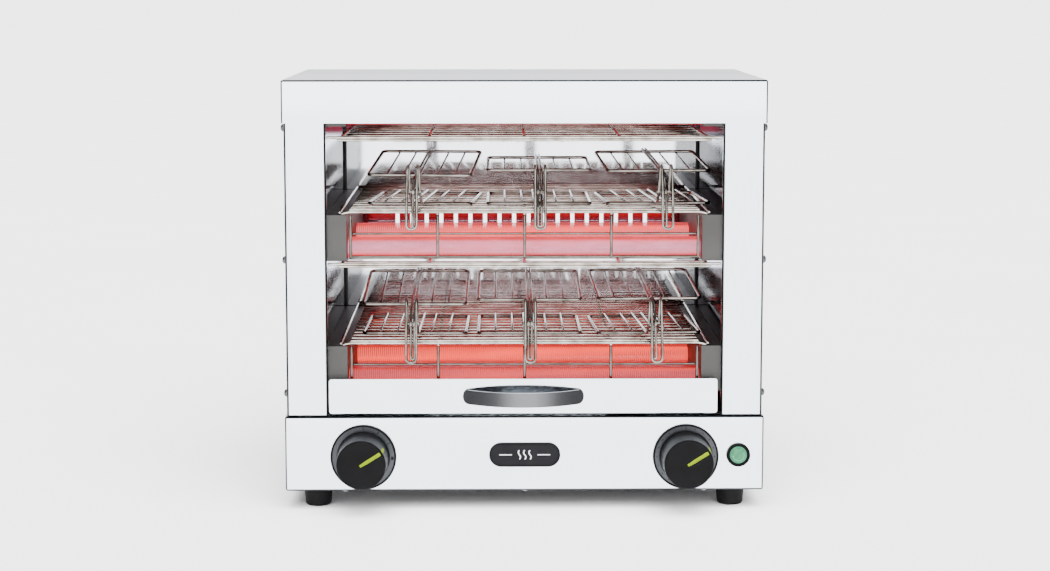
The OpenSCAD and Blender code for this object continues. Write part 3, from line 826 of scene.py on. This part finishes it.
def make_seam_shadow_strips():
    """Dark strips along the back wall's edges against the inner walls: painted shade for the seams between
    the panels.
    """
    front_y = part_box("back_panel")[0].y
    wall_low, wall_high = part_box("left_inner_wall")
    strip_w, strip_d = 2.2 * MM, 1.4 * MM
    bm = bmesh.new()
    for side in (-1, 1):
        x0, x1 = sorted((side * wall_high.x, side * (wall_high.x + strip_w)))
        outline = [(x0, wall_low.z), (x1, wall_low.z), (x1, wall_high.z), (x0, wall_high.z)]
        slab(bm, outline, lambda u, v, w: Vector((u, front_y - w, v)), strip_d)
    # The dark underside steel here is painted shade
    bevelled(finish_mesh("back_wall_seam_shadows", bm, "underside", sharp=40), 0.4 * MM)


# ---------- racks and guards ----------

THIN_R, FRAME_R, WELD = 1.15 * MM, 1.45 * MM, 0.25 * MM
RAIL_R = FRAME_R - 0.05 * MM
CURL_ROD_R = FRAME_R - 0.15 * MM


def across(bm, half, y, z, radius, sides=12):
    """A straight rod from left to right."""
    tube(bm, [(-half, y, z), (half, y, z)], radius, sides)


def finger_rod(bm, half, y, z, radius):
    """A rod from left to right whose ends curl down and back like a finger."""
    curl = [(half, y + 2.4 * MM, z - 1.5 * MM), (half - 1.6 * MM, y, z - 0.9 * MM),
            (half - 8 * MM, y, z + 0.4 * MM)]
    path = [(-x, y, z) for x, y, z in curl] + list(reversed(curl))
    tube(bm, fillet(path, 7 * MM, 5), radius)


def make_rack(node, fence_node):
    """Cross rods on five rails. The inner rails turn down at the front and carry the upright fence."""
    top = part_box(node)[1].z - THIN_R
    rail_z = top - THIN_R - FRAME_R + WELD
    y0, y1 = FRONT_Y + 8 * MM, BACK_Y - 9 * MM
    fence_y = y0 - 0.3 * MM
    fence_low, fence_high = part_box(fence_node)
    fence_x = fence_high.x - 2 * MM
    count = round((y1 - y0) / (17 * MM))
    bm = bmesh.new()
    for i in range(1, count + 1):
        across(bm, fence_x + 1.5 * MM, y0 + (y1 - y0) * i / count, top, THIN_R)
    across(bm, fence_x + 1.5 * MM, y0 + 0.4 * MM, top + 0.2 * MM, THIN_R)
    for x in (-RACK_RAIL_X, 0, RACK_RAIL_X):
        path = [(x, y1, rail_z), (x, fence_y, rail_z), (x, fence_y, fence_high.z)]
        tube(bm, fillet(path, 2.2 * MM, 5), RAIL_R)
    for x in (-COVER_X - 6 * MM, COVER_X + 6 * MM):
        tube(bm, [(x, y1, rail_z), (x, fence_y, rail_z)], RAIL_R)
    across(bm, COVER_X + 7 * MM, y1, rail_z, FRAME_R - 0.2 * MM)
    finger_rod(bm, COVER_X + 5 * MM, y0, rail_z, CURL_ROD_R)
    finish_mesh(node + "_wires", bm, "rack", node, 60)
    bm = bmesh.new()
    for x in (-fence_x, -RACK_RAIL_X, 0, RACK_RAIL_X, fence_x):
        tube(bm, [(x, fence_y, fence_high.z + 0.4 * MM), (x, fence_y, fence_low.z)], RAIL_R)
    across(bm, fence_x + 1 * MM, y0, fence_low.z + 1.5 * MM, 1.25 * MM)
    across(bm, fence_x, y0 + 2 * MM, top - 22.5 * MM, 1.05 * MM)
    finish_mesh(node + "_fence_wires", bm, "fence", fence_node, 60)


def make_guard(node):
    """The open grid over a deck: thin cross rods under front-to-back rails, held on two end bars."""
    low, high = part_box(node)
    rod_z = low.z + THIN_R
    rail_z = rod_z + THIN_R + FRAME_R - WELD
    y0, y1 = FRONT_Y + 5 * MM, BACK_Y - 12 * MM
    count = round((y1 - y0) / (32 * MM))
    bm = bmesh.new()
    for i in range(count + 1):
        across(bm, COVER_X + 7.5 * MM, y0 + (y1 - y0) * i / count, rod_z, THIN_R)
    for x in (-COVER_X - 4 * MM, -GUARD_RAIL_X, 0, GUARD_RAIL_X, COVER_X + 4 * MM):
        tube(bm, [(x, y0 - 0.6 * MM, rail_z), (x, y1 + 0.6 * MM, rail_z)], RAIL_R)
    for y in (y0, y1):
        across(bm, high.x - 0.2 * MM, y, rail_z, CURL_ROD_R)
    finish_mesh(node + "_wires", bm, "rack", node, 60)


# ---------- tongs ----------

JAW_W, JAW_L, JAW_FRONT = 100 * MM, 108 * MM, 33 * MM
JAW_R, INNER_R, HANDLE_R, PIN_R = 1.55 * MM, 0.98 * MM, 1.28 * MM, 1.5 * MM
PAIR_IN, PAIR_OUT = 1.6 * MM, 4.6 * MM
CLOSED_MARGIN = 5


def jaw_wires(bm, z, face):
    """The round-cornered frame of a jaw and its four inner wires, whose ends wrap the frame."""
    x = JAW_W / 2 - 1.6 * MM
    y0, y1 = JAW_FRONT, JAW_FRONT + JAW_L - 3.2 * MM
    frame_path = fillet([(-x, y0, z), (x, y0, z), (x, y1, z), (-x, y1, z)], 5 * MM, 6, closed=True)
    tube(bm, frame_path, JAW_R, closed=True)
    inner_z = z + face * (JAW_R + INNER_R - WELD)
    for i in (-2, -1, 1, 2):
        u = i * JAW_W / 6.2
        tube(bm, [(u, y0 - 0.9 * MM, inner_z), (u, y1 + 0.9 * MM, inner_z)], INNER_R, 10)


def handle_wires(bm, half, path):
    """One wire bent into a long hairpin: down one lane, round the end and back up the other."""
    left = [(-half, y, z) for y, z in path]
    right = [(half, y, z) for y, z in path]
    tube(bm, fillet(left + right[::-1], 4 * MM, 6), HANDLE_R)


def pivot_wrap(bm, half, radius):
    """Each lane wraps round the pivot pin as an open eye."""
    turns, steps, pitch = 1.6, 20, 0.4 * MM
    for sign in (-1, 1):
        path = []
        for k in range(int(turns * steps) + 1):
            a = 2 * math.pi * k / steps
            path.append((sign * half + (k / steps - turns / 2) * pitch, radius * math.cos(a),
                         radius * math.sin(a)))
        tube(bm, path, HANDLE_R * 0.92, 10)


def tong_place(number):
    """The bodies of a tong's two jaws, the place of its pivot, and how far it is open at rest."""
    slide = joints[f"tong_{number}_slide"]
    hinge = joints[f"tong_{number}_squeeze"]
    axis = Vector(hinge["axis"])
    turn = Matrix.Rotation(math.atan2(axis.y, axis.x), 4, "Z")
    opening = -hinge["range_deg"][0] - CLOSED_MARGIN
    return slide["child"], hinge["child"], Matrix.Translation(hinge["pos_m"]) @ turn, math.radians(opening)


def jaw_height(node, place):
    """How far a jaw's frame stands over the pivot, read off the far edge of its solid."""
    points = [place.inverted() @ vertex.co for vertex in frame["nodes"][node].data.vertices]
    far = max(point.y for point in points)
    edge = [point.z for point in points if point.y > far - 0.3 * MM]
    return (min(edge) + max(edge)) / 2


def make_tong(number):
    """Two jaws with their hairpin handles, on a pin that belongs to the lower one."""
    lower_body, upper_body, place, opening = tong_place(number)
    reach = JAW_FRONT + JAW_L - 3 * MM
    over_jaw = JAW_R + HANDLE_R - 0.2 * MM
    node = f"tong_{number}_lower_jaw"
    z = jaw_height(node, place)
    bm = bmesh.new()
    jaw_wires(bm, z, 1)
    down_and_up = [(14 * MM, z + over_jaw), (8 * MM, z + over_jaw + 3 * MM), (0, 0), (-8 * MM, 19 * MM),
                   (-12 * MM, 26 * MM), (-18 * MM, 24 * MM), (-24 * MM, 2 * MM), (-28 * MM, -32 * MM)]
    handle_wires(bm, PAIR_OUT, [(reach, z + over_jaw)] + down_and_up)
    across(bm, PAIR_OUT + 2.3 * MM, 0, 0, PIN_R, 16)
    bmesh.ops.transform(bm, matrix=place, verts=bm.verts)
    finish_mesh(node.replace("_jaw", "_wires"), bm, "tong", node, 60, lower_body)
    node = f"tong_{number}_upper_jaw"
    raised = place @ Matrix.Rotation(opening, 4, "X")
    z = jaw_height(node, raised)
    bm = bmesh.new()
    jaw_wires(bm, z, -1)
    down = [(16 * MM, z + over_jaw), (8 * MM, 10 * MM), (0, 0), (-7 * MM, -14 * MM), (-12 * MM, -31 * MM)]
    handle_wires(bm, PAIR_IN, [(reach, z + over_jaw)] + down)
    pivot_wrap(bm, PAIR_IN, 2.75 * MM)
    bmesh.ops.transform(bm, matrix=raised, verts=bm.verts)
    finish_mesh(node.replace("_jaw", "_wires"), bm, "tong", node, 60, upper_body)


# ---------- crumb tray ----------

def make_crumb_tray():
    """A polished front plate and, behind it, the pan with its round edges, open at the top."""
    low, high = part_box("crumb_tray")
    middle = (low + high) / 2
    bm = bmesh.new()
    outline = round_rect(high.x - low.x, high.z - low.z, 2.6 * MM)
    slab(bm, outline, lambda u, v, w: Vector((middle.x + u, low.y + w, middle.z + v)), SHEET)
    plate = finish_mesh("crumb_tray_front", bm, "tray", "crumb_tray", 40, "crumb_drawer")
    bevelled(plate, 0.4 * MM, 3)
    bm = bmesh.new()
    wall_h, inset, edge_r = 12 * MM, 1 * MM, 2 * MM
    box_mesh(bm, (low.x + inset, low.y + SHEET, low.z), (high.x - inset, high.y, low.z + wall_h))
    bmesh.ops.bevel(bm, geom=list(bm.edges), offset=edge_r, segments=4, profile=0.5, affect="EDGES")
    bm.normal_update()
    for face in list(bm.faces):
        if face.normal.z > 0.3:
            bm.faces.remove(face)
    pan = finish_mesh("crumb_tray_pan", bm, "casing", sharp=50, body="crumb_drawer")
    thickened(pan, 0.95 * MM)


def make_tray_handle():
    """A bowed strip whose round ends lie against the tray's front."""
    low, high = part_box("tray_handle")
    middle = (low + high) / 2
    reach = high.y - low.y - 0.3 * MM
    half = (high.x - low.x) / 2 - 0.2 * MM
    strip = (high.z - low.z) / 2 - 0.1 * MM
    bow_r = (half * half + reach * reach) / (2 * reach)
    limit = math.asin(half / bow_r)
    columns, rows = 56, 10
    bm = bmesh.new()
    grid = []
    for i in range(columns + 1):
        a = -limit + 2 * limit * (0.5 - 0.5 * math.cos(math.pi * i / columns))
        x = middle.x + bow_r * math.sin(a)
        y = low.y + 0.1 * MM + bow_r * (1 - math.cos(a))
        inset = max(0.0, strip - bow_r * (limit - abs(a)))
        height = math.sqrt(max(strip * strip - inset * inset, 0)) + 0.05 * MM
        grid.append([bm.verts.new((x, y, middle.z - height + 2 * height * k / rows))
                     for k in range(rows + 1)])
    for col_a, col_b in zip(grid, grid[1:]):
        for k in range(rows):
            bm.faces.new((col_a[k], col_b[k], col_b[k + 1], col_a[k + 1]))
    piece = finish_mesh("tray_handle_strip", bm, "handle", "tray_handle", 50, "crumb_drawer")
    modifier = piece.modifiers.new("strip", "SOLIDIFY")
    modifier.thickness = 1.8 * MM
    modifier.offset = 1 if piece.data.polygons[0].normal.y > 0 else -1
    apply_modifiers(piece)
    bevelled(piece, 0.45 * MM, 3, 50)


# ---------- controls ----------

def rectangle(width, height):
    x, y = width / 2, height / 2
    return [(-x, -y), (x, -y), (x, y), (-x, y)]


MARK_OUTLINES = {
    "dot": arc_points((0, 0), 0.55 * MM, 0, 330, 11),
    "bar": rectangle(0.7 * MM, 3 * MM),
    "block": rectangle(3.2 * MM, 2.4 * MM),
}
# (clock angle in degrees from the top, kind)
SELECTOR_MARKS = [(0, "bar"), (31, "bar"), (61, "bar"), (92, "block")]
TIMER_MARKS = [(0, "bar")] + [(step * 18, "dot") for step in range(1, 19)]


def make_dial(node, marks):
    """A brushed ring with a black rim and printed marks."""
    low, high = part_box(node)
    middle = (low + high) / 2
    centre = (middle.x, high.y, middle.z)
    radius = (high.x - low.x) / 2
    hole_r, back, ring_h = 6 * MM, 0.05 * MM, 1.5 * MM
    rim_in, rim_h, edge = radius - 2 * MM, 1.9 * MM, 0.15 * MM
    bm = bmesh.new()
    lathe(bm, [(hole_r, back), (hole_r, ring_h), (rim_in + 0.05 * MM, ring_h), (rim_in + 0.05 * MM, back),
               (hole_r, back)], centre, 96)
    finish_mesh(node + "_ring", bm, "dial", node, 40)
    bm = bmesh.new()
    lathe(bm, [(rim_in, back), (rim_in, rim_h - edge), (rim_in + edge, rim_h), (radius - edge, rim_h),
               (radius, rim_h - edge), (radius, back), (rim_in, back)], centre, 96)
    finish_mesh(node + "_rim", bm, "black", sharp=40)
    bm = bmesh.new()
    marks_r, face_y = 27.2 * MM, low.y + 0.55 * MM
    for angle, kind in marks:
        def place(u, v, w, a=math.radians(angle)):
            out = marks_r + v
            return Vector((middle.x + out * math.sin(a) + u * math.cos(a), face_y - w,
                           middle.z + out * math.cos(a) - u * math.sin(a)))

        slab(bm, MARK_OUTLINES[kind], place, 0.2 * MM)
    finish_mesh(node + "_marks", bm, "ink", sharp=40)


def make_knob(node, body, pointer_angle):
    """A round grip, wider at its foot, and the pointer let into its face and side."""
    low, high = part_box(node)
    middle = (low + high) / 2
    centre = Vector((middle.x, high.y, middle.z))
    radius = (high.x - low.x) / 2
    face_r = radius - KNOB_FLARE
    top = high.y - low.y - 0.35 * MM
    edge_r = 2 * MM
    angles = (math.pi / 2 * k / 6 for k in range(1, 6))
    profile = [(3.2 * MM, 0), (radius - 0.5 * MM, 0), (radius - 0.1 * MM, 0.4 * MM),
               (radius - 0.1 * MM, 2.6 * MM), (radius - 0.6 * MM, 3 * MM), (radius - 0.7 * MM, 4.2 * MM),
               (face_r, top - 2.4 * MM)]
    profile += [(face_r - edge_r + edge_r * math.cos(a), top - edge_r - 0.3 * MM + edge_r * math.sin(a))
                for a in angles]
    profile += [(face_r - 2.8 * MM, top - 0.3 * MM), (face_r - 6 * MM, top - 0.1 * MM), (0, top)]
    bm = bmesh.new()
    lathe(bm, profile, centre, 96)
    finish_mesh(node + "_grip", bm, "knob", node, 55, body)
    path = [(-1.2 * MM, top - 0.1 * MM), (6 * MM, top - 0.1 * MM), (face_r - 3.6 * MM, top - 0.2 * MM),
            (face_r - 1.5 * MM, top - 0.7 * MM), (face_r - 0.4 * MM, top - 2 * MM),
            (face_r + 0.12 * MM, top - 4 * MM), (face_r + 0.65 * MM, top - 15 * MM)]
    bm = bmesh.new()
    pointer_strip(bm, centre, math.radians(pointer_angle), path)
    finish_mesh(node + "_pointer", bm, "pointer", sharp=50, body=body)


def pointer_strip(bm, centre, angle, path):
    """A low strip along (radius, height) points over a knob, at a clock angle, narrower at its ends."""
    half_w, end_narrowing = 1.75 * MM, 0.72
    section = [(-1, 0.9 * MM), (-1, 0.0), (-0.8, -0.22 * MM), (0.8, -0.22 * MM), (1, 0.0), (1, 0.9 * MM)]
    out = Vector((math.sin(angle), 0, math.cos(angle)))
    side = Vector((math.cos(angle), 0, -math.sin(angle)))
    front = Vector((0, -1, 0))
    rows = []
    for i, (radius, height) in enumerate(path):
        before, after = path[max(i - 1, 0)], path[min(i + 1, len(path) - 1)]
        run = Vector((after[0] - before[0], after[1] - before[1])).normalized()
        sink = out * run.y - front * run.x
        base = centre + out * radius + front * height
        half = half_w * (end_narrowing if i in (0, len(path) - 1) else 1)
        rows.append([bm.verts.new(base + side * half * s + sink * drop) for s, drop in section])
    for row_a, row_b in zip(rows, rows[1:]):
        for k in range(len(section)):
            j = (k + 1) % len(section)
            bm.faces.new((row_a[k], row_a[j], row_b[j], row_b[k]))
    bm.faces.new(rows[0])
    bm.faces.new(rows[-1][::-1])


def make_pilot_lamp():
    """A black cup with the green lens in it, and a bright green crescent inside the lens that is a painted
    highlight.
    """
    low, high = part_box("pilot_bezel")
    lens_low, lens_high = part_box("pilot_lens")
    middle = (lens_low + lens_high) / 2
    radius = (high.x - low.x) / 2
    barrel_r, barrel_end = 5.9 * MM, -20 * MM
    cup_r, cup_h, cup_floor = 9.05 * MM, 2.35 * MM, 0.6 * MM
    bm = bmesh.new()
    profile = [(barrel_r, barrel_end), (barrel_r, 0), (radius - 0.1 * MM, 0.02 * MM),
               (radius - 0.02 * MM, 0.3 * MM), (radius - 0.05 * MM, 1.9 * MM), (radius - 0.5 * MM, cup_h),
               (9.6 * MM, cup_h), (cup_r, 1.9 * MM), (cup_r, cup_floor), (0, cup_floor)]
    lathe(bm, profile, (middle.x, FRONT_Y, middle.z))
    finish_mesh("pilot_bezel_cup", bm, "black", "pilot_bezel", 40)
    bm = bmesh.new()
    lens_r = (lens_high.x - lens_low.x) / 2 - 0.65 * MM
    depth = lens_high.y - lens_low.y
    profile = [(0, 0.02 * MM), (lens_r, 0.02 * MM), (lens_r, 1.5 * MM), (lens_r - 0.5 * MM, 2.1 * MM),
               (6.9 * MM, 2.5 * MM), (6.6 * MM, 2.2 * MM), (6.1 * MM, 2.2 * MM), (5.7 * MM, 2.75 * MM),
               (5 * MM, 3.1 * MM), (3 * MM, depth - 0.25 * MM), (1.2 * MM, depth - 0.1 * MM),
               (0, depth - 0.08 * MM)]
    lathe(bm, profile, (middle.x, lens_high.y, middle.z))
    finish_mesh("pilot_lens_dome", bm, "lens", "pilot_lens", 40)
    bm = bmesh.new()
    # The bright green crescent inside the lens is a painted highlight
    ring_r, ring_y = 5.2 * MM, lens_high.y - 2.95 * MM
    angles = [math.radians(degrees) for degrees in range(60, 271, 6)]
    tube(bm, [(middle.x + ring_r * math.sin(a), ring_y, middle.z + ring_r * math.cos(a)) for a in angles],
         0.35 * MM, 8)
    finish_mesh("pilot_lens_painted_highlight", bm, "lens_highlight", sharp=60)


# ---------- the CAD nodes that keep their own shape ----------

def finish_cad_nodes():
    """Gives each CAD node that isn't replaced its look."""
    looks = {
        "underside": ["base_plate"],
        "back": ["back_panel"],
        "liner": ["left_inner_wall", "right_inner_wall"],
        "near_black": ["cavity_floor"],
        "ceiling": ["cavity_ceiling"],
        "ceramic": ["ceramic_end_caps"],
        "screw": ["selector_shaft", "timer_shaft"],
        "switch": ["selector_switch", "timer_body", "terminal_block"],
        "black": ["cable_gland"],
        "grey": [f"tube_cover_{tier}_{side}" for tier in TIERS for side in ("left", "right")],
    }
    for look, nodes in looks.items():
        for node in nodes:
            mesh = frame["nodes"][node].data
            mesh.materials.clear()
            mesh.materials.append(M[look])


# ---------- studio ----------

def make_world():
    """A white studio with dark strips between its walls and ceiling, which steel mirrors as grey edges."""
    world = bpy.data.worlds.new("studio")
    world.use_nodes = True
    tree = NodeTree(world.node_tree)
    x, y, z = tree.axes("Generated")

    def greys(value, *stops):
        return tree.ramp(value, [(place, (grey, grey, grey * 1.01)) for place, grey in stops])

    sideways = tree.compute("ABSOLUTE", tree.compute("ARCTAN2", x, tree.compute("MULTIPLY", y, -1)))
    around = tree.compute("DIVIDE", sideways, math.pi)
    walls = greys(around, (0.0, 1.0), (0.17, 1.0), (0.26, 0.08), (0.3, 0.02), (0.42, 0.02), (0.5, 0.3),
                  (0.7, 0.34), (1.0, 0.34))
    ceiling = greys(z, (0.0, 1.0), (0.5, 1.0), (0.68, 0.03), (0.76, 0.03), (0.86, 0.5), (1.0, 0.6))
    background = tree.nodes["Background"]
    tree.feed(background.inputs["Color"], tree.mix(1, walls, ceiling, "MULTIPLY"))
    background.inputs["Strength"].default_value = 5.4
    bpy.context.scene.world = world


def make_studio():
    """The plain floor and the soft light from above."""
    make_world()
    bm = bmesh.new()
    bmesh.ops.create_grid(bm, x_segments=8, y_segments=8, size=400)
    mesh = bpy.data.meshes.new("floor")
    bm.to_mesh(mesh)
    bm.free()
    floor = bpy.data.objects.new("floor", mesh)
    mesh.materials.append(studio_floor())
    bpy.context.scene.collection.objects.link(floor)
    sun = bpy.data.lights.new("soft_sky", "SUN")
    sun.energy = 15
    sun.angle = math.radians(70)
    sky = bpy.data.objects.new("soft_sky", sun)
    sky.rotation_euler = (math.radians(28), math.radians(6), 0)
    sky.visible_glossy = False
    bpy.context.scene.collection.objects.link(sky)


def make_camera():
    """As far away as the casing's front asks, a little above it, looking slightly down."""
    data = bpy.data.cameras.new("camera")
    data.lens = 72.1
    data.sensor_width = 36
    data.shift_y = -0.048
    camera = bpy.data.objects.new("camera", data)
    distance = 1.94
    camera.location = (-0.0258, FRONT_Y - distance, 0.4853)
    pitch, yaw = math.radians(6.62), math.radians(-0.77)
    camera.rotation_euler = (math.pi / 2 - pitch, 0, yaw)
    bpy.context.scene.collection.objects.link(camera)
    bpy.context.scene.camera = camera


make_camera()
make_studio()
make_base_housing()
make_top_cover()
make_side_panel(-1)
make_side_panel(1)
make_screws()
make_base_screws()
make_badge()
make_feet()
make_quartz_tubes()
make_heating_coils()
make_back_crease()
make_seam_shadow_strips()
make_rack("upper_rack", "mid_front_guard")
make_rack("lower_rack", "low_front_guard")
make_guard("top_guard")
make_guard("mid_guard")
for tong_number in range(1, 7):
    make_tong(tong_number)
make_crumb_tray()
make_tray_handle()
make_dial("selector_dial", SELECTOR_MARKS)
make_dial("timer_dial", TIMER_MARKS)
make_knob("selector_knob", "selector", 58)
make_knob("timer_knob", "timer", 58)
make_pilot_lamp()
finish_cad_nodes()
